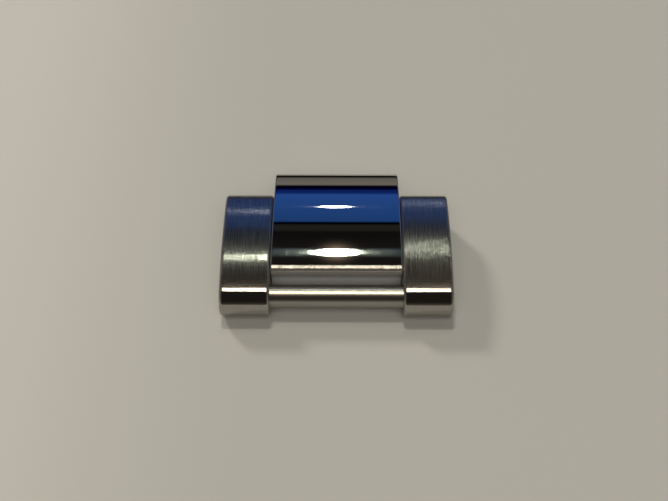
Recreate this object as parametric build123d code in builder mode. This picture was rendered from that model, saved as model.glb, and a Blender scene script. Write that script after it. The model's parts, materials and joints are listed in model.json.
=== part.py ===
# One solid link of a metal watch bracelet: two brushed outer links, a polished
# centre link set back between them, the pressed pins that lock the three together,
# and the screwed tube in the front ends on which the next link turns.
#
# Frame: X runs across the bracelet, Y along it with the open front at -Y, Z up.
# The origin lies on the table, midway between the two hinge axes.
from build123d import *
from math import acos, degrees, sqrt
import os

os.makedirs("parts", exist_ok=True)

# Overall sizes, in millimetres
link_width = 16.0
centre_width = 9.1
hinge_pitch = 10.0
end_radius = 1.4
top_arch_radius = 20.0
under_arch_radius = 40.0

# Clearances between the pieces, and to the links on either side
side_gap = 0.03
next_link_gap = 0.2
socket_gap = 0.1
tube_gap = 0.04
tube_end_gap = 0.05
thread_gap = 0.03
head_gap = 0.05
pin_end_gap = 0.1

# Edges and rear ends of the outer links
outer_rear_round = 1.0
outer_foot_round = 0.4
outside_edge_round = 0.25
inside_edge_round = 0.2

# Front lip and edges of the centre link
lip_setback = 0.95
lip_round = 0.35
centre_foot_round = 0.2
centre_edge_round = 0.1

# Hinge tube and its two slotted screws
tube_diameter = 1.64
tube_bore_diameter = 0.9
tube_chamfer = 0.06
head_diameter = 1.9
head_height = 0.6
head_sink = 0.05
head_edge_round = 0.12
slot_width = 0.3
slot_depth = 0.25
slot_angle = 30
thread_length = 2.6
thread_chamfer = 0.12

# Pressed pins that lock the outer links to the centre link
pin_diameter = 1.0
pin_depth = 1.4
pin_chamfer = 0.1
pin_place_shares = (0.26, 0.78)

# The cuts run this far past the faces that they open
overrun = 1.0

# Places worked out from the sizes above
hinge_y = hinge_pitch / 2
tip_y = hinge_y + end_radius
outside_x = link_width / 2
inside_x = centre_width / 2 + side_gap
seat_x = outside_x - head_sink - head_height
outer_rear_y = hinge_y - end_radius - next_link_gap
socket_radius = end_radius + socket_gap
socket_y = socket_radius - hinge_y
lip_y = lip_setback - hinge_y
bore_radius = tube_diameter / 2 + tube_gap
top_centre_z = end_radius - sqrt((top_arch_radius - end_radius) ** 2 - hinge_y**2)
under_centre_z = end_radius - sqrt((under_arch_radius + end_radius) ** 2 - hinge_y**2)


def top_z(y):
    """Height of the arched top at a place along the link."""
    return top_centre_z + sqrt(top_arch_radius**2 - y**2)


def under_z(y):
    """Height of the hollowed underside at a place along the link."""
    return under_centre_z + sqrt(under_arch_radius**2 - y**2)


def top_tangent(axis_y):
    """Point where the top runs into the round end whose axis is at axis_y."""
    reach_share = top_arch_radius / (top_arch_radius - end_radius)
    return (axis_y * reach_share, top_centre_z + (end_radius - top_centre_z) * reach_share)


def under_tangent(axis_y):
    """Point where the underside runs into the round end whose axis is at axis_y."""
    reach_share = under_arch_radius / (under_arch_radius + end_radius)
    return (axis_y * reach_share, under_centre_z + (end_radius - under_centre_z) * reach_share)


def drill(radius, y, z, start_x, end_x):
    """Cut a round hole across the link, from one place on X to another."""
    with BuildSketch(Plane.YZ.offset(start_x)) as hole:
        with Locations((y, z)):
            Circle(radius)
    extrude(hole.sketch, amount=end_x - start_x, mode=Mode.SUBTRACT)


def write(piece, name):
    """Label a finished piece and write it under its name."""
    piece.label = name
    export_step(piece, f"parts/{name}.step")


pin_z = (top_z(0) + under_z(0)) / 2
pin_places = [socket_y + share * (outer_rear_y - socket_y) for share in pin_place_shares]
sides = (("left", -1), ("right", 1))


# Outer links: full round front ends, arched tops, rolled rear ends
def make_outer_link(side):
    """One outer link, on the side of the middle that -1 or 1 names."""
    with BuildPart() as outer_link:
        with BuildSketch(Plane.YZ.offset(side * inside_x)):
            rear_top = (outer_rear_y, top_z(outer_rear_y))
            rear_foot = (outer_rear_y, under_z(outer_rear_y))
            with BuildLine():
                ThreePointArc(top_tangent(-hinge_y), (0, top_z(0)), rear_top)
                Line(rear_top, rear_foot)
                ThreePointArc(rear_foot, (0, under_z(0)), under_tangent(-hinge_y))
                ThreePointArc(under_tangent(-hinge_y), (-tip_y, end_radius), top_tangent(-hinge_y))
            make_face()
            fillet(vertices().group_by(Axis.X)[-1].sort_by(Axis.Y)[-1], outer_rear_round)
            fillet(vertices().group_by(Axis.X)[-1].sort_by(Axis.Y)[0], outer_foot_round)
        extrude(amount=side * (outside_x - inside_x))

        side_faces = outer_link.faces().filter_by(Axis.X).sort_by(Axis.X)
        inside_face, outside_face = side_faces[::side]
        fillet(outside_face.edges(), outside_edge_round)
        inside_face = outer_link.faces().filter_by(Axis.X).sort_by(Axis.X)[::side][0]
        fillet(inside_face.edges(), inside_edge_round)

        # The tube runs through the front end and the screw's head seats in its mouth
        past_inside_x = side * (inside_x - overrun)
        past_outside_x = side * (outside_x + overrun)
        drill(bore_radius, -hinge_y, end_radius, past_inside_x, past_outside_x)
        drill(head_diameter / 2 + head_gap, -hinge_y, end_radius, side * seat_x, past_outside_x)
        for pin_y in pin_places:
            drill(pin_diameter / 2, pin_y, pin_z, past_inside_x, side * (inside_x + pin_depth))
    return outer_link.part


for side_name, side in sides:
    write(make_outer_link(side), f"outer_link_{side_name}")


# Centre link: front lip and socket round the next link, full round rear end
with BuildPart() as centre_link:
    with BuildSketch(Plane.YZ):
        lip_top = (lip_y, top_z(lip_y))
        socket_foot = (socket_y, under_z(socket_y))
        with BuildLine():
            ThreePointArc(lip_top, (0, top_z(0)), top_tangent(hinge_y))
            ThreePointArc(top_tangent(hinge_y), (tip_y, end_radius), under_tangent(hinge_y))
            ThreePointArc(under_tangent(hinge_y), (0, under_z(0)), socket_foot)
            socket = CenterArc(
                (-hinge_y, end_radius), socket_radius, 0, degrees(acos(lip_setback / socket_radius))
            )
            Line(socket_foot, socket @ 0)
            Line(socket @ 1, lip_top)
        make_face()
        front_corners = vertices().filter_by_position(Axis.X, lip_y, socket_y).sort_by(Axis.Y)
        fillet(front_corners[-1], lip_round)
        fillet(vertices().sort_by_distance(socket_foot)[0], centre_foot_round)
    extrude(amount=centre_width / 2, both=True)
    fillet(centre_link.faces().filter_by(Axis.X).edges(), centre_edge_round)

    past_side_x = centre_width / 2 + overrun
    drill(bore_radius, hinge_y, end_radius, -past_side_x, past_side_x)
    for pin_y in pin_places:
        drill(pin_diameter / 2, pin_y, pin_z, -past_side_x, past_side_x)
write(centre_link.part, "centre_link")


# Pressed pins: each runs through the centre link into both outer links
def make_pressed_pin(pin_y):
    """One pressed pin, at a place along the link."""
    half_length = inside_x + pin_depth - pin_end_gap
    with BuildPart() as pressed_pin:
        with BuildSketch(Plane.YZ):
            with Locations((pin_y, pin_z)):
                Circle(pin_diameter / 2)
        extrude(amount=half_length, both=True)
        chamfer(pressed_pin.faces().filter_by(Axis.X).edges(), pin_chamfer)
    return pressed_pin.part


for place_name, pin_y in zip(("front", "rear"), pin_places):
    write(make_pressed_pin(pin_y), f"pressed_pin_{place_name}")


# Hinge tube: turns in both front ends and carries the next link between them
with BuildPart() as hinge_tube:
    with BuildSketch(Plane.YZ):
        with Locations((-hinge_y, end_radius)):
            Circle(tube_diameter / 2)
            Circle(tube_bore_diameter / 2, mode=Mode.SUBTRACT)
    extrude(amount=seat_x - tube_end_gap, both=True)
    tube_ends = hinge_tube.faces().filter_by(Axis.X)
    chamfer(tube_ends.edges().filter_by(lambda e: e.radius > tube_bore_diameter / 2 + tube_chamfer), tube_chamfer)
write(hinge_tube.part, "hinge_tube")


# Tube screws: a slotted head in each outer link, a threaded stem in the tube
def make_tube_screw(side):
    """One tube screw, on the side of the middle that -1 or 1 names."""
    with BuildPart() as tube_screw:
        with BuildSketch(Plane.YZ.offset(side * seat_x)):
            with Locations((-hinge_y, end_radius)):
                Circle(head_diameter / 2)
        extrude(amount=side * head_height)
        fillet(tube_screw.faces().filter_by(Axis.X).sort_by(Axis.X)[::side][-1].edges(), head_edge_round)

        with BuildSketch(Plane.YZ.offset(side * seat_x)):
            with Locations((-hinge_y, end_radius)):
                Circle(tube_bore_diameter / 2 - thread_gap)
        extrude(amount=-side * thread_length)
        chamfer(tube_screw.faces().filter_by(Axis.X).sort_by(Axis.X)[::side][0].edges(), thread_chamfer)

        with BuildSketch(Plane.YZ.offset(side * (seat_x + head_height - slot_depth))):
            with Locations((-hinge_y, end_radius)):
                Rectangle(head_diameter + overrun, slot_width, rotation=slot_angle)
        extrude(amount=side * (slot_depth + overrun), mode=Mode.SUBTRACT)
    return tube_screw.part


for side_name, side in sides:
    write(make_tube_screw(side), f"tube_screw_{side_name}")
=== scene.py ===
# %% [markdown]
# A link of a steel watch bracelet, laid on a pale table.
# It is two brushed outer links with a mirror-polished centre link pressed between them, and a
# tube held by two slotted screws across the open front, on which the next link turns.
# Polished steel has hardly any look of its own, it shows its surroundings. So half of this
# lesson models the link, and the other half builds the room that the link mirrors.

# %% Load the fixed frame
import json
from math import acos, atan2, cos, degrees, pi, radians, sin, sqrt, tan

import bpy
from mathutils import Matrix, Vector

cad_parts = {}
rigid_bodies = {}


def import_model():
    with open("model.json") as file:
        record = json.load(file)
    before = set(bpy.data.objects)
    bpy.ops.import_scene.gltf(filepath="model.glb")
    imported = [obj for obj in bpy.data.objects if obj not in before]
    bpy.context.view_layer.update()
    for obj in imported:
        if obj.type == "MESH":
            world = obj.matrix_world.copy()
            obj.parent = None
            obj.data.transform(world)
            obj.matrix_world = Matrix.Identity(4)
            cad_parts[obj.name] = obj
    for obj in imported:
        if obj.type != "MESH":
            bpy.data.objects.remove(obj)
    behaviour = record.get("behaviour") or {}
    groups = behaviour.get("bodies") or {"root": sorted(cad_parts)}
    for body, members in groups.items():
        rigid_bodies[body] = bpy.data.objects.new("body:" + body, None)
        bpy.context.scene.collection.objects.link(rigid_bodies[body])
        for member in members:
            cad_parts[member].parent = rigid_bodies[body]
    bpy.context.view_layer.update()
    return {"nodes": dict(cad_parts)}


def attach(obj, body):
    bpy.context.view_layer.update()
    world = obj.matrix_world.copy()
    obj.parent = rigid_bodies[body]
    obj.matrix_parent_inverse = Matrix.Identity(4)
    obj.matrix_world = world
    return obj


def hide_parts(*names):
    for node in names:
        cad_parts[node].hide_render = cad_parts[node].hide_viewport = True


for leftover in list(bpy.data.objects):
    bpy.data.objects.remove(leftover)
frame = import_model()
mm = 0.001
print("CAD nodes:", sorted(frame["nodes"]))

# %% [markdown]
# The sizes are the ones the link was drawn with, in millimetres. X runs across the bracelet,
# Y along it with the open front at -Y, and Z is up from the table. The hinge axes lie along X
# at Y -5 and Y 5, as high above the table as the round ends are thick in radius.
# The places of arcs are worked out from the radii, as a draughtsman would with a compass:
# an arc that touches a circle from outside has its centre on the line through both centres.

# %% Sizes of the link
hinge_y = 5.0
end_radius = 1.4
top_radius = 20.0
under_radius = 40.0
centre_half_width = 4.55
inside_x = 4.58
outside_x = 8.0
outer_rear_y = 3.4
rear_round = 1.0
foot_round = 0.4
lip_y = -4.05
lip_round = 0.35
socket_y = -3.5
socket_radius = 1.5
socket_foot_round = 0.2
centre_edge_round = 0.1
outside_edge_round = 0.25
inside_edge_round = 0.2
bore_radius = 0.86
tube_radius = 0.82
tube_bore_radius = 0.45
head_radius = 0.95
mouth_radius = 1.0
seat_x = 7.35
top_centre_z = end_radius - sqrt((top_radius - end_radius) ** 2 - hinge_y**2)
under_centre_z = end_radius - sqrt((under_radius + end_radius) ** 2 - hinge_y**2)
print("top of the arch in mm:", round(top_centre_z + top_radius, 3))

# %% [markdown]
# The camera stands straight in front and looks down at 48 degrees from 76.5 mm away, which gives
# the link the perspective that it has in the photo. The lens then sets how large it looks. The
# camera is aimed a little to the left of and below the link's middle, which puts the link
# slightly up and to the right, with no lens shift.

# %% Camera
camera_elevation = radians(48.0)
camera_distance = 76.5 * mm
camera_lens = 57.35
aim_left = 0.18
aim_down = 0.72
look_at = Vector((0, 0, 1.6 * mm))
camera_back = Vector((0, -cos(camera_elevation), sin(camera_elevation)))
camera_up = Vector((0, sin(camera_elevation), cos(camera_elevation)))
camera_aim = look_at - Vector((aim_left * mm, 0, 0)) - camera_up * aim_down * mm

camera_data = bpy.data.cameras.new("camera")
camera_data.sensor_width = 36.0
camera_data.lens = camera_lens
camera_data.clip_start = 1 * mm
camera_data.clip_end = 10.0
camera = bpy.data.objects.new("camera", camera_data)
bpy.context.scene.collection.objects.link(camera)
camera.location = look_at + camera_back * camera_distance
camera.rotation_mode = "QUATERNION"
camera.rotation_quaternion = (camera_aim - camera.location).to_track_quat("-Z", "Y")
bpy.context.scene.camera = camera
print("camera in mm:", [round(v / mm, 1) for v in camera.location])


# %% [markdown]
# Materials need two small helpers: one that turns a written sRGB colour into the linear
# numbers that a shader works in, and one that adds a node with its settings and its links.

# %% Helpers for materials
def linear(hex_colour):
    """Turn a colour such as #C8C5C0 into linear red, green, blue and alpha."""
    parts = [int(hex_colour[i : i + 2], 16) / 255 for i in (1, 3, 5)]
    return [p / 12.92 if p <= 0.04045 else ((p + 0.055) / 1.055) ** 2.4 for p in parts] + [1.0]


def add_node(tree, kind, inputs=None, **settings):
    """Add a node, set its options, and give each named input a value or another node's output."""
    node = tree.nodes.new(kind)
    for option, value in settings.items():
        setattr(node, option, value)
    for name, value in (inputs or {}).items():
        if isinstance(value, bpy.types.NodeSocket):
            tree.links.new(value, node.inputs[name])
        else:
            node.inputs[name].default_value = value
    return node


def new_material(name):
    """A new material with only its standard shader, and that shader."""
    material = bpy.data.materials.new(name)
    material.use_nodes = True
    return material, material.node_tree, material.node_tree.nodes["Principled BSDF"]


print("steel grey in linear values:", [round(v, 3) for v in linear("#C8C5C0")])

# %% [markdown]
# The table is a plain pale top. It could be a small plane, but polished metal mirrors the
# table far out to its edge, so it is one large round plate. Its tone lifts slightly to the
# left, which is painted light: more light falls on the table from that side.

# %% Table
table_radius = 1.3
painted_light_from_x = -5.0
painted_light_full_x = -30.0
bpy.ops.object.select_all(action="DESELECT")
bpy.ops.mesh.primitive_circle_add(
    vertices=128,
    radius=table_radius,
    fill_type="NGON",
    location=(0, 0, 0),
)
table = bpy.context.object
table.name = "table"

table_paint, tree, shader = new_material("matt_painted_table_top")
place = add_node(tree, "ShaderNodeTexCoord")
place_parts = add_node(tree, "ShaderNodeSeparateXYZ", {"Vector": place.outputs["Object"]})
# Painted light: the table grows lighter towards the left, where more light falls on it.
painted_light_to_left = add_node(
    tree,
    "ShaderNodeMapRange",
    {
        "Value": place_parts.outputs["X"],
        "From Min": painted_light_from_x * mm,
        "From Max": painted_light_full_x * mm,
    },
    interpolation_type="SMOOTHSTEP",
)
table_tone_with_painted_light = add_node(
    tree,
    "ShaderNodeMix",
    {"Factor": painted_light_to_left.outputs["Result"], "A": linear("#ABA89F"), "B": linear("#BEB8AF")},
    data_type="RGBA",
)
tree.links.new(table_tone_with_painted_light.outputs["Result"], shader.inputs["Base Color"])
shader.inputs["Roughness"].default_value = 0.7
shader.inputs["Specular IOR Level"].default_value = 0.2
table.data.materials.append(table_paint)
print("table radius in m:", table_radius)

# %% [markdown]
# The room is a dark tent over the table, as a photographer puts over shiny metal. What each
# height of it shows is what the polished link shows. From the rear edge of the table upwards
# come a dark gap, a grey strip, the black frame of a lit blue screen, the screen, its frame
# again, and then a nearly black ceiling with two faint grey strips. Angles run from the rear
# edge of the table (0) over the top (90) to the front edge (180). To the left and right the tent
# is a soft grey.
# A warm glow lies round the small lamp behind, which is the haze that its picture has in the
# metal.

# %% Tent
tent_radius = 1.25
side_grey_start = 0.25
side_grey_full = 0.9
glow_angle = 64.0
glow_core = 0.03
glow_reach = 0.20
glow_squeeze = 5.0
glow_falloff = 5.6
# Each zone is an angle, and the colour of the tent there.
tent_zones = (
    (0.0, "#1C1713"),
    (14.2, "#1C1713"),
    (15.0, "#6F6D67"),
    (20.6, "#807A72"),
    (21.5, "#000008"),
    (24.3, "#000028"),
    (25.0, "#12236A"),
    (27.4, "#123078"),
    (28.4, "#2E56A8"),
    (35.0, "#2A529A"),
    (46.3, "#244A88"),
    (47.0, "#000008"),
    (47.9, "#05060A"),
    (48.8, "#262624"),
    (51.2, "#262622"),
    (53.0, "#141212"),
    (61.5, "#1C1A1A"),
    (62.8, "#39434B"),
    (65.4, "#343D3E"),
    (66.8, "#1C1A1A"),
    (110.0, "#262321"),
    (160.0, "#262220"),
    (168.0, "#3A352E"),
    (180.0, "#6A655C"),
)
bpy.ops.object.select_all(action="DESELECT")
bpy.ops.mesh.primitive_uv_sphere_add(segments=96, ring_count=48, radius=tent_radius, location=(0, 0, 0))
tent = bpy.context.object
tent.name = "tent"
bpy.ops.object.mode_set(mode="EDIT")
bpy.ops.mesh.bisect(plane_co=(0, 0, -1 * mm), plane_no=(0, 0, 1), clear_inner=True)
bpy.ops.object.mode_set(mode="OBJECT")

tent_cloth, tree, shader = new_material("tent_with_screen_and_flags")
place = add_node(tree, "ShaderNodeTexCoord")
place_parts = add_node(tree, "ShaderNodeSeparateXYZ", {"Vector": place.outputs["Object"]})
height_angle = add_node(
    tree,
    "ShaderNodeMath",
    {0: place_parts.outputs["Z"], 1: place_parts.outputs["Y"]},
    operation="ARCTAN2",
)
height_share = add_node(
    tree,
    "ShaderNodeMath",
    {0: height_angle.outputs["Value"], 1: pi},
    operation="DIVIDE",
)
zone_ramp = add_node(tree, "ShaderNodeValToRGB", {"Fac": height_share.outputs["Value"]})
marks = zone_ramp.color_ramp.elements
while len(marks) < len(tent_zones):
    marks.new(0.5)
for mark, (angle, colour) in zip(marks, tent_zones):
    mark.position = angle / 180
    mark.color = linear(colour)
sideways = add_node(tree, "ShaderNodeMath", {0: place_parts.outputs["X"]}, operation="ABSOLUTE")
side_share = add_node(
    tree,
    "ShaderNodeMapRange",
    {
        "Value": sideways.outputs["Value"],
        "From Min": tent_radius * side_grey_start,
        "From Max": tent_radius * side_grey_full,
    },
    interpolation_type="SMOOTHSTEP",
)
tent_tone = add_node(
    tree,
    "ShaderNodeMix",
    {"Factor": side_share.outputs["Result"], "A": zone_ramp.outputs["Color"], "B": linear("#787570")},
    data_type="RGBA",
)
tent_way = add_node(tree, "ShaderNodeVectorMath", {0: place.outputs["Object"]}, operation="NORMALIZE")
squeezed_way = add_node(
    tree,
    "ShaderNodeVectorMath",
    {0: tent_way.outputs["Vector"], 1: (glow_squeeze, 1, 1)},
    operation="MULTIPLY",
)
from_lamp = add_node(
    tree,
    "ShaderNodeVectorMath",
    {0: squeezed_way.outputs["Vector"], 1: (0, cos(radians(glow_angle)), sin(radians(glow_angle)))},
    operation="DISTANCE",
)
nearness = add_node(
    tree,
    "ShaderNodeMapRange",
    {
        "Value": from_lamp.outputs["Value"],
        "From Min": glow_core,
        "From Max": glow_reach,
        "To Min": 1.0,
        "To Max": 0.0,
    },
)
glow = add_node(tree, "ShaderNodeMath", {0: nearness.outputs["Result"], 1: glow_falloff}, operation="POWER")
glow_tone = add_node(
    tree,
    "ShaderNodeMix",
    {"Factor": glow.outputs["Value"], "A": tent_tone.outputs["Result"], "B": linear("#C0A890")},
    data_type="RGBA",
)
tree.links.new(glow_tone.outputs["Result"], shader.inputs["Emission Color"])
shader.inputs["Emission Strength"].default_value = 1.0
shader.inputs["Base Color"].default_value = linear("#000000")
shader.inputs["Specular IOR Level"].default_value = 0.0
tent_cloth.cycles.emission_sampling = "NONE"
tent.data.materials.append(tent_cloth)

# Outside the tent the room is plain and pale.
world = bpy.data.worlds.new("pale room")
world.use_nodes = True
world.node_tree.nodes["Background"].inputs["Color"].default_value = linear("#B4B0A8")
bpy.context.scene.world = world
print("tent zones:", len(tent_zones))

# %% [markdown]
# Lamps, each given by where it stands, how wide and how high it looks from the link, and its
# share of the light on the table. The overhead lamp lays the short shadow in front, the lamp on
# the left lays the wide faint one on the right, and the soft light in front fills both in. They
# only give light: no picture of them is on the metal. The strip lamp is the other way round: it
# is the bright band on every rounded front edge, and is only seen in the metal. The two small
# lamps behind do both, and are the white lenses in the polished arch: a round lamp mirrored in a
# cylinder is squeezed one way only. The shares of all but the strip lamp add up to about 1, so
# that colours render as written.


# %% Lamps
lamp_distance = 1.1


def lamp_direction(angle, side_angle):
    """The direction of a lamp at an angle over the table's rear edge, turned to one side."""
    return Vector((
        sin(radians(side_angle)),
        cos(radians(side_angle)) * cos(radians(angle)),
        cos(radians(side_angle)) * sin(radians(angle)),
    ))


def add_lamp(name, angle, side_angle, width_degrees, height_degrees, table_share, colour, use="both"):
    """A round or oval lamp that gives the table a share of its light, aimed at the link."""
    direction = lamp_direction(angle, side_angle)
    lamp_data = bpy.data.lights.new(name, "AREA")
    lamp_data.shape = "ELLIPSE"
    lamp_data.size = 2 * lamp_distance * tan(radians(width_degrees / 2))
    lamp_data.size_y = 2 * lamp_distance * tan(radians(height_degrees / 2))
    lamp_data.energy = table_share * (pi * lamp_distance) ** 2 / direction.z
    lamp_data.color = linear(colour)[:3]
    lamp = bpy.data.objects.new(name, lamp_data)
    bpy.context.scene.collection.objects.link(lamp)
    lamp.location = look_at + direction * lamp_distance
    lamp.rotation_mode = "QUATERNION"
    lamp.rotation_quaternion = direction.to_track_quat("Z", "Y")
    lamp.visible_glossy = use != "light only"
    lamp.visible_diffuse = use != "mirror only"
    print(name, "size in mm", round(lamp_data.size / mm, 1), "energy in W", round(lamp_data.energy, 3))
    return lamp


add_lamp("overhead lamp", 76.5, -4, 8, 8, 0.31, "#FFFCF6", use="light only")
add_lamp("overhead strip lamp", 93.0, 0, 10, 21, 0.36, "#FFEFD6", use="mirror only")
add_lamp("lamp on the left", 41.0, -32, 10, 10, 0.26, "#FFFCF6", use="light only")
add_lamp("small lamp behind", 64.0, -0.03, 2.4, 3.8, 0.047, "#F6FFEA")
add_lamp("small lamp far behind", 37.0, -0.1, 1.75, 1.4, 0.0026, "#F4FAFF")
add_lamp("soft light in front", 128.0, 0, 50, 40, 0.39, "#FFFDF9", use="light only")


# %% [markdown]
# All pieces are one steel, 316L, and differ in how their surface was made: brushed, buffed,
# turned, lapped, ground or milled. Three tones are painted light and shade: the darker tube
# and ground face are painted shade, and the paler socket is painted light. The outer links were
# drawn along a belt, which leaves fine lines that run from rear to front. Such lines smear a
# lamp sideways, across them, and leave it sharp along them: that is anisotropy. The lines
# follow the surface round the front end, so they read a map, named grain, that is unrolled in
# millimetres: U across the lines, V along them.
# V is 0 in the middle of the top, and the front end starts at -5.


# %% Brushed steel
grip_full_v = -2.8
grip_gone_v = -6.2
grip_left = 0.05
grip_falloff = 2.5
slope_stop_v = -3.8
slope_blend = 1.5
deep_lines_v = -1.2
shallow_lines_v = 0.8
shallow_share = 1 / 8
torn_width = 0.004
torn_length = 2.5
torn_blend = 0.08
torn_shift = (3.7, 1.9, 0)
front_roughness = 0.11


def brushed_steel(name, smooth_roughness, torn_roughness, torn_from, line_size, relief, out_of_true):
    """Belt-brushed 316L stainless steel: a satin grey with bright streaks lying side by side."""
    material, tree, shader = new_material(name)
    grain = add_node(tree, "ShaderNodeUVMap", uv_map="grain")
    grain_parts = add_node(tree, "ShaderNodeSeparateXYZ", {"Vector": grain.outputs["UV"]})
    # Belt lines are about 0.02 mm apart. The ones that show are drawn a few times wider.
    line_width, line_length = line_size
    lines_place = add_node(
        tree,
        "ShaderNodeMapping",
        {"Vector": grain.outputs["UV"], "Scale": (1 / line_width, 1 / line_length, 1)},
    )
    lines = add_node(
        tree,
        "ShaderNodeTexNoise",
        {"Vector": lines_place.outputs["Vector"], "Scale": 1.0, "Detail": 2.0, "Roughness": 0.5},
        noise_dimensions="2D",
    )
    # A hand-held belt leaves the face a little out of true: a slope along the lines, that
    # fades out before the front end.
    run = add_node(
        tree,
        "ShaderNodeMath",
        {0: grain_parts.outputs["Y"], 1: slope_stop_v, 2: slope_blend},
        operation="SMOOTH_MAX",
    )
    slope = add_node(
        tree,
        "ShaderNodeMath",
        {0: run.outputs["Value"], 1: out_of_true},
        operation="MULTIPLY",
    )
    # The belt presses hard on the top, and hardly where it wraps round the front end.
    belt_grip = add_node(
        tree,
        "ShaderNodeMapRange",
        {
            "Value": grain_parts.outputs["Y"],
            "From Min": grip_gone_v,
            "From Max": grip_full_v,
            "To Min": grip_left,
            "To Max": 1.0,
        },
        interpolation_type="SMOOTHSTEP",
    )
    # The lines are deepest on the front half of the top, where the belt touches down.
    line_height = add_node(
        tree,
        "ShaderNodeMapRange",
        {
            "Value": grain_parts.outputs["Y"],
            "From Min": deep_lines_v,
            "From Max": shallow_lines_v,
            "To Min": relief,
            "To Max": relief * shallow_share,
        },
        interpolation_type="SMOOTHSTEP",
    )
    height_grip = add_node(
        tree,
        "ShaderNodeMath",
        {0: belt_grip.outputs["Result"], 1: grip_falloff},
        operation="POWER",
    )
    kept_height = add_node(
        tree,
        "ShaderNodeMath",
        {0: height_grip.outputs["Value"], 1: line_height.outputs["Result"]},
        operation="MULTIPLY",
    )
    height = add_node(
        tree,
        "ShaderNodeMath",
        {0: lines.outputs["Fac"], 1: kept_height.outputs["Value"], 2: slope.outputs["Value"]},
        operation="MULTIPLY_ADD",
    )
    surface = add_node(
        tree,
        "ShaderNodeBump",
        {"Height": height.outputs["Value"], "Distance": mm, "Strength": 1.0},
    )
    # About half of the lines are torn rather than cut, and scatter light much wider. They are
    # finer than a pixel, and only mix the two glosses.
    torn_place = add_node(
        tree,
        "ShaderNodeMapping",
        {
            "Vector": grain.outputs["UV"],
            "Location": torn_shift,
            "Scale": (1 / torn_width, 1 / torn_length, 1),
        },
    )
    torn = add_node(
        tree,
        "ShaderNodeTexNoise",
        {"Vector": torn_place.outputs["Vector"], "Scale": 1.0, "Detail": 1.0, "Roughness": 0.5},
        noise_dimensions="2D",
    )
    torn_share = add_node(
        tree,
        "ShaderNodeMapRange",
        {
            "Value": torn.outputs["Fac"],
            "From Min": torn_from,
            "From Max": torn_from + torn_blend,
            "To Max": belt_grip.outputs["Result"],
        },
    )
    cut_sheen = add_node(
        tree,
        "ShaderNodeMapRange",
        {"Value": belt_grip.outputs["Result"], "To Min": front_roughness, "To Max": smooth_roughness},
    )
    sheen = add_node(
        tree,
        "ShaderNodeMapRange",
        {
            "Value": torn_share.outputs["Result"],
            "To Min": cut_sheen.outputs["Result"],
            "To Max": torn_roughness,
        },
    )
    tone = add_node(
        tree,
        "ShaderNodeMix",
        {"Factor": lines.outputs["Fac"], "A": linear("#9E9B95"), "B": linear("#B4B1AB")},
        data_type="RGBA",
    )
    across = add_node(tree, "ShaderNodeTangent", direction_type="UV_MAP", uv_map="grain")
    shader.inputs["Metallic"].default_value = 1.0
    shader.inputs["Anisotropic"].default_value = 1.0
    tree.links.new(tone.outputs["Result"], shader.inputs["Base Color"])
    tree.links.new(sheen.outputs["Result"], shader.inputs["Roughness"])
    tree.links.new(surface.outputs["Normal"], shader.inputs["Normal"])
    tree.links.new(across.outputs["Tangent"], shader.inputs["Tangent"])
    return material


# The left link was brushed in one long pull: even lines and a sharp band of light.
brushed_left = brushed_steel("belt_brushed_steel_left", 0.17, 0.48, 0.44, (0.05, 4.0), 0.0015, -0.029)
# The right one was touched up with short strokes: its band of light breaks up into sparkles.
brushed_right = brushed_steel("belt_brushed_steel_right", 0.23, 0.48, 0.45, (0.08, 0.6), 0.022, 0.018)
print("brushed steels:", brushed_left.name, brushed_right.name)

# %% [markdown]
# The centre link was buffed on a felt wheel until it mirrors. Buffing still leaves hair-fine
# lines, too fine to see, which draw a thin faint line of light out of both ends of a lamp's
# image. A little of the roughness therefore rises on narrow lines, and the rest stays sharp.
# The tube and the screws were turned on a lathe and then smoothed, so their lines run round
# them, and more of their surface is hazy.


# %% Polished and turned steel
buffing_width = 0.05
buffing_length = 6.0
buffing_shift = (5.3, 2.7, 0)


def polished_steel(name, tone, hazy_share, roughness_low, roughness_high, smear=0.95):
    """Buffed or turned 316L stainless steel: a mirror with hair-fine lines that haze it a little."""
    material, tree, shader = new_material(name)
    grain = add_node(tree, "ShaderNodeUVMap", uv_map="grain")
    # Buffing lines are a few thousandths of a mm apart, and are drawn far wider to show at all.
    lines_place = add_node(
        tree,
        "ShaderNodeMapping",
        {
            "Vector": grain.outputs["UV"],
            "Location": buffing_shift,
            "Scale": (1 / buffing_width, 1 / buffing_length, 1),
        },
    )
    lines = add_node(
        tree,
        "ShaderNodeTexNoise",
        {"Vector": lines_place.outputs["Vector"], "Scale": 1.0, "Detail": 2.0, "Roughness": 0.5},
        noise_dimensions="2D",
    )
    haze = add_node(
        tree,
        "ShaderNodeMapRange",
        {
            "Value": lines.outputs["Fac"],
            "From Min": 1 - hazy_share,
            "From Max": 1.0,
            "To Min": roughness_low,
            "To Max": roughness_high,
        },
    )
    across = add_node(tree, "ShaderNodeTangent", direction_type="UV_MAP", uv_map="grain")
    shader.inputs["Base Color"].default_value = linear(tone)
    shader.inputs["Metallic"].default_value = 1.0
    shader.inputs["Anisotropic"].default_value = smear
    tree.links.new(haze.outputs["Result"], shader.inputs["Roughness"])
    tree.links.new(across.outputs["Tangent"], shader.inputs["Tangent"])
    return material


# The centre link mirrors like black glass, and draws a faint line out of each lamp.
polished = polished_steel("buffed_steel", "#CFCDC9", 0.3, 0.022, 0.10)
# The screws shine softly, with light smeared round their heads.
screw_steel = polished_steel("turned_screw_steel", "#CFCDC9", 0.6, 0.12, 0.3)
# The tube was drawn and smoothed, with one wide soft band of light. Its darker grey is painted shade: it
# dims the table that its underside mirrors.
tube_steel_painted_shade = polished_steel("turned_tube_steel", "#A8A6A1", 0.8, 0.31, 0.36, smear=0.3)
print("polished steels:", polished.name, screw_steel.name, tube_steel_painted_shade.name)

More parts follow.
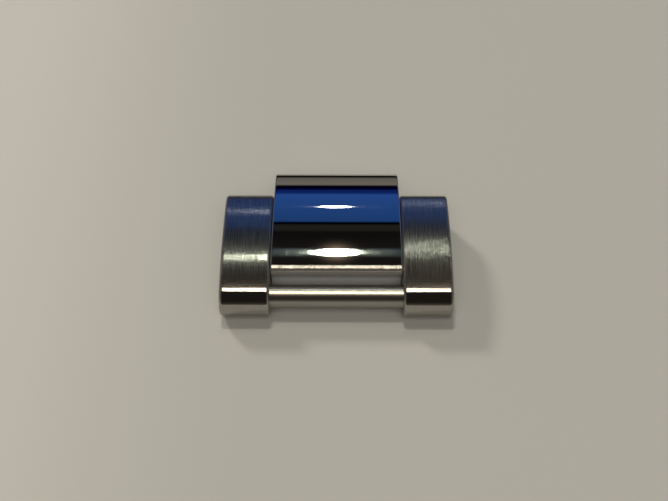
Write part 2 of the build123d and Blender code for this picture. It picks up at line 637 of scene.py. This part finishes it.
# %% [markdown]
# The lip, the faces under it, the socket and the pressed pins are only smoothed, not polished.
# They spread a lamp evenly to all sides, and small leftovers of the tool break its image into
# dots. A ground or milled face that is full of fine scratches looks more like grey paint than
# like metal, so those two are given as only partly metallic.


# %% Satin steel
dot_length = 0.6


def satin_steel(name, tone, roughness, dot_spacing, relief, metallic=1.0):
    """Smoothed 316L stainless steel: soft bands of light with a slightly uneven edge."""
    material, tree, shader = new_material(name)
    place = add_node(tree, "ShaderNodeTexCoord")
    dots_place = add_node(
        tree,
        "ShaderNodeMapping",
        {
            "Vector": place.outputs["Object"],
            "Scale": (1 / dot_spacing / mm, 1 / dot_length / mm, 1 / dot_length / mm),
        },
    )
    dots = add_node(
        tree,
        "ShaderNodeTexNoise",
        {"Vector": dots_place.outputs["Vector"], "Scale": 1.0, "Detail": 2.0, "Roughness": 0.6},
    )
    dents = add_node(
        tree,
        "ShaderNodeBump",
        {"Height": dots.outputs["Fac"], "Distance": relief * mm, "Strength": 1.0},
    )
    shader.inputs["Base Color"].default_value = linear(tone)
    shader.inputs["Metallic"].default_value = metallic
    shader.inputs["Roughness"].default_value = roughness
    tree.links.new(dents.outputs["Normal"], shader.inputs["Normal"])
    return material


# The lapped lip: bright, with its band of light broken into dashes.
lapped = satin_steel("lapped_lip_steel", "#CFCDC9", 0.38, 0.2, 0.06)
# The ground face under the lip: a darker grey, the same all over, which is painted shade for the shade
# under the lip.
ground = satin_steel("ground_face_steel_painted_shade", "#8A8782", 0.5, 0.3, 0.01, metallic=0.3)
# The milled socket: a paler grey, which is painted light: it stands in for the lit table that the socket
# mirrors.
milled = satin_steel("milled_socket_steel_painted_light", "#D8D6D2", 0.35, 0.25, 0.03, metallic=0.35)
# The ground pins: plain bright rods, hidden in the link.
pin_steel = satin_steel("ground_pin_steel", "#CFCDC9", 0.3, 0.1, 0.002)
print("satin steels:", lapped.name, ground.name, milled.name, pin_steel.name)

# %% [markdown]
# Every section of the link is drawn as on paper: a single point is put down, and straight
# strokes and arcs are drawn from it until the line closes. In Blender the stroke is an
# extrude, and the arc is a spin of the last point about the arc's centre. The closed line is
# filled and pulled out sideways to the piece's width.


# %% Drawing helpers
merge_distance = 0.002 * mm
same_place = 0.001
hold_distance = 0.03
smooth_angle = 25
fewest_steps = 4


def start_drawing(name, x, y, z):
    """A new piece in edit mode that is one point."""
    bpy.ops.object.select_all(action="DESELECT")
    bpy.ops.mesh.primitive_plane_add(size=mm, location=(0, 0, 0))
    piece = bpy.context.object
    piece.name = name
    piece.data.name = name
    bpy.ops.object.mode_set(mode="EDIT")
    bpy.ops.mesh.select_mode(type="VERT")
    bpy.ops.mesh.select_all(action="SELECT")
    bpy.ops.mesh.merge(type="CENTER")
    bpy.ops.transform.translate(value=(x * mm, y * mm, z * mm))
    return piece


def stroke(dy, dz, dx=0.0):
    """Draw a straight stroke from the last point."""
    bpy.ops.mesh.extrude_region_move(TRANSFORM_OT_translate={"value": (dx * mm, dy * mm, dz * mm)})


def arc(x, y, z, turn, step_length, radius):
    """Draw an arc about a centre, turning by some degrees, in short steps."""
    steps = max(fewest_steps, round(abs(radians(turn)) * radius / step_length))
    bpy.ops.mesh.spin(steps=steps, angle=-radians(turn), center=(x * mm, y * mm, z * mm), axis=(1, 0, 0))


def pull_out(width):
    """Close the drawn line, fill it, and pull it out along X."""
    bpy.ops.mesh.select_all(action="SELECT")
    bpy.ops.mesh.remove_doubles(threshold=merge_distance)
    bpy.ops.mesh.edge_face_add()
    bpy.ops.mesh.extrude_region_move(TRANSFORM_OT_translate={"value": (width * mm, 0, 0)})
    bpy.ops.mesh.select_all(action="SELECT")
    bpy.ops.mesh.normals_make_consistent(inside=False)
    bpy.ops.object.mode_set(mode="OBJECT")


def work_on(piece):
    """Make one piece the only selected and active one."""
    bpy.ops.object.select_all(action="DESELECT")
    piece.select_set(True)
    bpy.context.view_layer.objects.active = piece


def select_edges(piece, wanted):
    """In edit mode, select the edges whose two ends both pass a test on their place in mm."""
    work_on(piece)
    bpy.ops.object.mode_set(mode="EDIT")
    bpy.ops.mesh.select_mode(type="EDGE")
    bpy.ops.mesh.select_all(action="DESELECT")
    bpy.ops.object.mode_set(mode="OBJECT")
    corners = piece.data.vertices
    for edge in piece.data.edges:
        edge.select = all(wanted(*(corners[i].co / mm)) for i in edge.vertices)
    bpy.ops.object.mode_set(mode="EDIT")


def round_edges(piece, wanted, size, segments):
    """Round the edges that pass a test."""
    select_edges(piece, wanted)
    bpy.ops.mesh.bevel(offset_type="OFFSET", offset=size * mm, segments=segments, affect="EDGES")
    bpy.ops.object.mode_set(mode="OBJECT")


def drill(piece, radius, y, z, from_x, to_x):
    """Cut a round hole along X with a cutter the shape of the drill."""
    bpy.ops.object.select_all(action="DESELECT")
    bpy.ops.mesh.primitive_cylinder_add(
        vertices=96,
        radius=radius * mm,
        depth=abs(to_x - from_x) * mm,
        location=((from_x + to_x) / 2 * mm, y * mm, z * mm),
        rotation=(0, pi / 2, 0),
    )
    cutter = bpy.context.object
    hole = piece.modifiers.new("drilled hole", "BOOLEAN")
    hole.object = cutter
    hole.operation = "DIFFERENCE"
    hole.solver = "EXACT"
    work_on(piece)
    bpy.ops.object.modifier_apply(modifier=hole.name)
    bpy.data.objects.remove(cutter)


def break_rims(piece, y, z, x_places, radius, size):
    """Break the sharp rims of a drilled hole where it comes out of a flat face."""
    round_edges(
        piece,
        lambda ex, ey, ez: min(abs(ex - x) for x in x_places) < same_place
        and abs(sqrt((ey - y) ** 2 + (ez - z) ** 2) - radius) < 5 * same_place,
        size,
        2,
    )


def hold_flat(piece, x_places):
    """Cut close beside the rounded edges, so that the faces between them shade as flat as they are."""
    work_on(piece)
    bpy.ops.object.mode_set(mode="EDIT")
    for x in x_places:
        bpy.ops.mesh.select_all(action="SELECT")
        bpy.ops.mesh.bisect(plane_co=(x * mm, 0, 0), plane_no=(1, 0, 0), threshold=same_place * mm)
    bpy.ops.mesh.select_mode(type="FACE")
    bpy.ops.mesh.select_all(action="DESELECT")
    bpy.ops.object.mode_set(mode="OBJECT")
    for face in piece.data.polygons:
        face.select = abs(face.normal.x) > 0.999
    bpy.ops.object.mode_set(mode="EDIT")
    bpy.ops.mesh.inset(thickness=hold_distance * mm)
    bpy.ops.object.mode_set(mode="OBJECT")


def smooth_shading(piece):
    """Shade smooth over the arcs, and keep real corners sharp."""
    work_on(piece)
    bpy.ops.object.shade_smooth_by_angle(angle=radians(smooth_angle))


def count(piece):
    """Print a piece's faces and its box in mm."""
    corners = [v.co / mm for v in piece.data.vertices]
    low = [round(min(c[i] for c in corners), 3) for i in range(3)]
    high = [round(max(c[i] for c in corners), 3) for i in range(3)]
    print(piece.name, "faces", len(piece.data.polygons), "from", low, "to", high)


print("drawing helpers are ready")

# %% [markdown]
# The grain map unrolls a piece along the way a belt or a buffing wheel runs over it: over the
# top, round the front end and back underneath. On the flat side faces the lines run from rear
# to front, so there V is simply Y.


# %% Grain map
def path_length(y, z, under):
    """How far along the belt's path a place lies, in mm, from the middle of the top."""
    if y < -hinge_y:
        return -hinge_y - end_radius * atan2(-(y + hinge_y), z - end_radius)
    if y > hinge_y:
        return hinge_y + end_radius * atan2(y - hinge_y, z - end_radius)
    if under:
        return -hinge_y - end_radius * pi - (y + hinge_y)
    return y


def turned_length(y, z, under):
    """How far round the hinge axis a place lies, in mm, for pieces turned on a lathe."""
    return tube_radius * atan2(-(y + hinge_y), z - end_radius)


def lay_grain(piece, length=path_length):
    """Give a piece its grain map, in mm, with U across the lines and V along them."""
    mesh = piece.data
    grain = mesh.uv_layers.new(name="grain")
    for face in mesh.polygons:
        on_side = abs(face.normal.x) > 0.7
        middle = face.center / mm
        under = middle.z < end_radius and face.normal.z < 0.3
        for loop in face.loop_indices:
            x, y, z = mesh.vertices[mesh.loops[loop].vertex_index].co / mm
            grain.data[loop].uv = (z, y) if on_side else (x, length(y, z, under))
    print(piece.name, "has a grain map")


# %% [markdown]
# The centre link is the long polished arch. Its front is cut back as a hollow socket, in
# which the round rear end of the next link turns, with a small rounded lip above it. The rear
# end is a full round about the rear hinge. The side edges are only just broken.

# %% Centre link
fine_step = 0.05
under_step = 0.1
lip_step = 0.02
foot_step = 0.03
lip_centre_y = lip_y + lip_round
lip_centre_z = top_centre_z + sqrt((top_radius - lip_round) ** 2 - lip_centre_y**2)
socket_top_z = end_radius + sqrt(socket_radius**2 - (lip_y + hinge_y) ** 2)
lip_angle = degrees(atan2(lip_centre_z - top_centre_z, lip_centre_y))
rear_top_angle = degrees(atan2(end_radius - top_centre_z, hinge_y))
rear_under_angle = degrees(atan2(under_centre_z - end_radius, -hinge_y))
under_rear_angle = degrees(atan2(end_radius - under_centre_z, hinge_y))
foot_centre_y = socket_y + socket_foot_round
foot_centre_z = under_centre_z + sqrt((under_radius + socket_foot_round) ** 2 - foot_centre_y**2)
foot_angle = degrees(atan2(foot_centre_z - under_centre_z, foot_centre_y))
lip_end_y = lip_centre_y + lip_round * cos(radians(lip_angle))
socket_turn = degrees(acos((lip_y + hinge_y) / socket_radius))

centre = start_drawing("polished_centre_link", -centre_half_width, lip_y, socket_top_z)
stroke(0, lip_centre_z - socket_top_z)
arc(0, lip_centre_y, lip_centre_z, lip_angle - 180, lip_step, lip_round)
arc(0, 0, top_centre_z, rear_top_angle - lip_angle, fine_step, top_radius)
arc(0, hinge_y, end_radius, rear_under_angle - rear_top_angle, fine_step, end_radius)
arc(0, 0, under_centre_z, foot_angle - under_rear_angle, under_step, under_radius)
arc(0, foot_centre_y, foot_centre_z, -foot_angle, foot_step, socket_foot_round)
stroke(0, end_radius - foot_centre_z)
arc(0, -hinge_y, end_radius, socket_turn, fine_step, socket_radius)
pull_out(2 * centre_half_width)
count(centre)

# %% [markdown]
# The edge between the arch and the flat sides is broken with a very small round. Cuts close
# beside it hold the shading of the large faces flat. The holes come after that: the rear bore
# for the next tube, with its rims broken, and two holes for the pressed pins. Last, each part
# of the surface gets its own finish.

# %% Centre link edges and holes
pin_places = (-1.706, 1.882)
pin_z = 1.894
pin_radius = 0.5
drill_reach = 6.0
rear_rim_bevel = 0.04
for side in (-1, 1):
    round_edges(
        centre,
        lambda x, y, z: abs(x - side * centre_half_width) < same_place,
        centre_edge_round,
        4,
    )
hold_x = centre_half_width - centre_edge_round - hold_distance
hold_flat(centre, (-hold_x, hold_x))
drill(centre, bore_radius, hinge_y, end_radius, -drill_reach, drill_reach)
break_rims(
    centre,
    hinge_y,
    end_radius,
    (-centre_half_width, centre_half_width),
    bore_radius,
    rear_rim_bevel,
)
for pin_y in pin_places:
    drill(centre, pin_radius, pin_y, pin_z, -drill_reach, drill_reach)
smooth_shading(centre)
lay_grain(centre)
for finish in (polished, lapped, ground, milled):
    centre.data.materials.append(finish)
polished_from_y = lip_end_y + 0.1
socket_faces_to_y = socket_y + 0.05
lapped_from_z = lip_centre_z + 0.12
for face in centre.data.polygons:
    _, face_y, face_z = face.center / mm
    if face_y < polished_from_y:
        face.material_index = 1
    if face_y < socket_faces_to_y and face_z < lapped_from_z:
        face.material_index = 2
    if face_y < socket_faces_to_y and face_z < socket_top_z - same_place:
        face.material_index = 3
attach(centre, "link")
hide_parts("centre_link")
count(centre)

# %% [markdown]
# An outer link is as long as the hinge pitch less the next link's room. Its front end is a
# full round about the tube, its top follows the same arch, and its rear end is rolled over.

# %% Outer links
outer_rear_centre_y = outer_rear_y - rear_round
outer_rear_centre_z = top_centre_z + sqrt((top_radius - rear_round) ** 2 - outer_rear_centre_y**2)
outer_foot_y = outer_rear_y - foot_round
outer_foot_z = under_centre_z + sqrt((under_radius + foot_round) ** 2 - outer_foot_y**2)
front_top_angle = 180 - rear_top_angle
outer_rear_angle = degrees(atan2(outer_rear_centre_z - top_centre_z, outer_rear_centre_y))
outer_foot_angle = degrees(atan2(outer_foot_z - under_centre_z, outer_foot_y))
tangent_share = top_radius / (top_radius - end_radius)
front_top_y = -hinge_y * tangent_share
front_top_z = top_centre_z + (end_radius - top_centre_z) * tangent_share
sides = (("left", -1), ("right", 1))
outer_parts = {}
for side_name, side in sides:
    start_x = -outside_x if side < 0 else inside_x
    outer = start_drawing(f"brushed_outer_link_{side_name}", start_x, front_top_y, front_top_z)
    arc(0, 0, top_centre_z, outer_rear_angle - front_top_angle, fine_step, top_radius)
    arc(0, outer_rear_centre_y, outer_rear_centre_z, -outer_rear_angle, fine_step, rear_round)
    stroke(0, outer_foot_z - outer_rear_centre_z)
    arc(0, outer_foot_y, outer_foot_z, outer_foot_angle - 180, foot_step, foot_round)
    arc(0, 0, under_centre_z, 180 - under_rear_angle - outer_foot_angle, under_step, under_radius)
    arc(0, -hinge_y, end_radius, front_top_angle - 360 + under_rear_angle, fine_step, end_radius)
    pull_out(outside_x - inside_x)
    outer_parts[side_name] = outer
    count(outer)

# %% [markdown]
# The outer side edge is rolled over more than the inner one. The hole for the tube runs right
# through, and a wider mouth on the outside takes the screw's head. Both rims are broken. The
# holes for the pins stop inside, so that nothing of the pins shows on the outside.

# %% Outer links edges and holes
drill_inside_x = 4.0
drill_outside_x = 9.0
pin_hole_depth = 1.4
front_rim_bevel = 0.03
outer_hold_x = outside_x - outside_edge_round - hold_distance
inner_hold_x = inside_x + inside_edge_round + hold_distance
for side_name, side in sides:
    outer = outer_parts[side_name]
    round_edges(outer, lambda x, y, z: abs(abs(x) - outside_x) < same_place, outside_edge_round, 6)
    round_edges(outer, lambda x, y, z: abs(abs(x) - inside_x) < same_place, inside_edge_round, 5)
    hold_flat(outer, (side * outer_hold_x, side * inner_hold_x))
    drill(outer, bore_radius, -hinge_y, end_radius, side * drill_inside_x, side * drill_outside_x)
    drill(outer, mouth_radius, -hinge_y, end_radius, side * seat_x, side * drill_outside_x)
    break_rims(outer, -hinge_y, end_radius, (side * outside_x,), mouth_radius, front_rim_bevel)
    break_rims(outer, -hinge_y, end_radius, (side * inside_x,), bore_radius, front_rim_bevel)
    for pin_y in pin_places:
        pin_hole_end = side * (inside_x + pin_hole_depth)
        drill(outer, pin_radius, pin_y, pin_z, side * drill_inside_x, pin_hole_end)
    smooth_shading(outer)
    lay_grain(outer)
    outer.data.materials.append(brushed_left if side < 0 else brushed_right)
    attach(outer, "link")
    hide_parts(f"outer_link_{side_name}")
    count(outer)

# %% [markdown]
# The tube and the screws are turned parts, so half of their outline is drawn and spun once
# round the hinge axis. The tube is a plain tube with a small bevel at each outer rim.


# %% Tube
def turn_on_lathe(outline, name, steps):
    """Draw half of an outline as pairs of X and radius, spin it round the hinge axis and close it."""
    first_x, first_radius = outline[0]
    piece = start_drawing(name, first_x, -hinge_y, end_radius + first_radius)
    for (x0, r0), (x1, r1) in zip(outline, outline[1:]):
        stroke(0, r1 - r0, x1 - x0)
    bpy.ops.mesh.select_all(action="SELECT")
    bpy.ops.mesh.remove_doubles(threshold=merge_distance)
    bpy.ops.mesh.spin(steps=steps, angle=2 * pi, center=(0, -hinge_y * mm, end_radius * mm), axis=(1, 0, 0))
    bpy.ops.mesh.select_all(action="SELECT")
    bpy.ops.mesh.remove_doubles(threshold=merge_distance)
    bpy.ops.mesh.normals_make_consistent(inside=False)
    bpy.ops.object.mode_set(mode="OBJECT")
    return piece


tube_end_x = 7.3
tube_bevel = 0.06
tube_outline = (
    (-tube_end_x, tube_bore_radius),
    (-tube_end_x, tube_radius - tube_bevel),
    (-tube_end_x + tube_bevel, tube_radius),
    (tube_end_x - tube_bevel, tube_radius),
    (tube_end_x, tube_radius - tube_bevel),
    (tube_end_x, tube_bore_radius),
    (-tube_end_x, tube_bore_radius),
)
tube = turn_on_lathe(tube_outline, "drawn_hinge_tube", 160)
smooth_shading(tube)
lay_grain(tube, turned_length)
tube.data.materials.append(tube_steel_painted_shade)
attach(tube, "tube")
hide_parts("hinge_tube")
count(tube)

# %% [markdown]
# Each screw has a low slotted head that sits in the mouth of the outer link, and a threaded
# stem that runs into the tube. The thread is drawn as rings, one for each turn, which look the
# same at this size. The rim of the head is rounded, and a flat cutter mills the slot.

# %% Screws
head_top_x = 7.95
head_round = 0.12
stem_radius = 0.42
neck_radius = 0.38
stem_end_x = 4.75
stem_bevel = 0.12
thread_pitch = 0.2
thread_depth = 0.07
crest_half_width = 0.02
thread_start_x = 7.05
slot_half_width = 0.15
slot_depth = 0.25
slot_turn = 30
slot_cutter_size = 1.0
slot_cutter_length = 4.0
head_rim_radius = head_radius - 0.1
thread_turns = int((thread_start_x - stem_end_x - stem_bevel) / thread_pitch)
screw_outline = [
    (head_top_x, 0.0),
    (head_top_x, head_radius),
    (seat_x, head_radius),
    (seat_x, neck_radius),
    (thread_start_x, neck_radius),
]
for turn in range(thread_turns):
    crest_x = thread_start_x - (turn + 0.5) * thread_pitch
    screw_outline.append((crest_x + crest_half_width, stem_radius))
    screw_outline.append((crest_x - crest_half_width, stem_radius))
    screw_outline.append((crest_x - thread_pitch / 2, stem_radius - thread_depth))
screw_outline.append((stem_end_x, stem_radius - stem_bevel))
screw_outline.append((stem_end_x, 0.0))
for side_name, side in sides:
    outline = [(side * x, r) for x, r in screw_outline]
    screw = turn_on_lathe(outline, f"slotted_screw_{side_name}", 128)
    round_edges(
        screw,
        lambda x, y, z: abs(abs(x) - head_top_x) < same_place
        and sqrt((y + hinge_y) ** 2 + (z - end_radius) ** 2) > head_rim_radius,
        head_round,
        4,
    )
    bpy.ops.object.select_all(action="DESELECT")
    bpy.ops.mesh.primitive_cube_add(
        size=1.0,
        location=(
            side * (head_top_x - slot_depth + slot_cutter_size / 2) * mm,
            -hinge_y * mm,
            end_radius * mm,
        ),
        scale=(slot_cutter_size * mm, slot_cutter_length * mm, 2 * slot_half_width * mm),
        rotation=(radians(slot_turn), 0, 0),
    )
    cutter = bpy.context.object
    slot = screw.modifiers.new("milled slot", "BOOLEAN")
    slot.object = cutter
    slot.operation = "DIFFERENCE"
    slot.solver = "EXACT"
    work_on(screw)
    bpy.ops.object.modifier_apply(modifier=slot.name)
    bpy.data.objects.remove(cutter)
    smooth_shading(screw)
    lay_grain(screw, turned_length)
    screw.data.materials.append(screw_steel)
    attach(screw, f"{side_name}_screw")
    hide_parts(f"tube_screw_{side_name}")
    count(screw)

# %% [markdown]
# The two pressed pins are hidden in the links, so their CAD shapes stay and only get their
# steel.

# %% Pins
for node_name in ("pressed_pin_front", "pressed_pin_rear"):
    node = frame["nodes"][node_name]
    for material_slot in node.material_slots:
        material_slot.material = pin_steel
    print(node_name, "is", pin_steel.name)

# %% [markdown]
# Last, the colour view is set to Standard.

# %% Set the colour view
bpy.context.scene.view_settings.view_transform = "Standard"
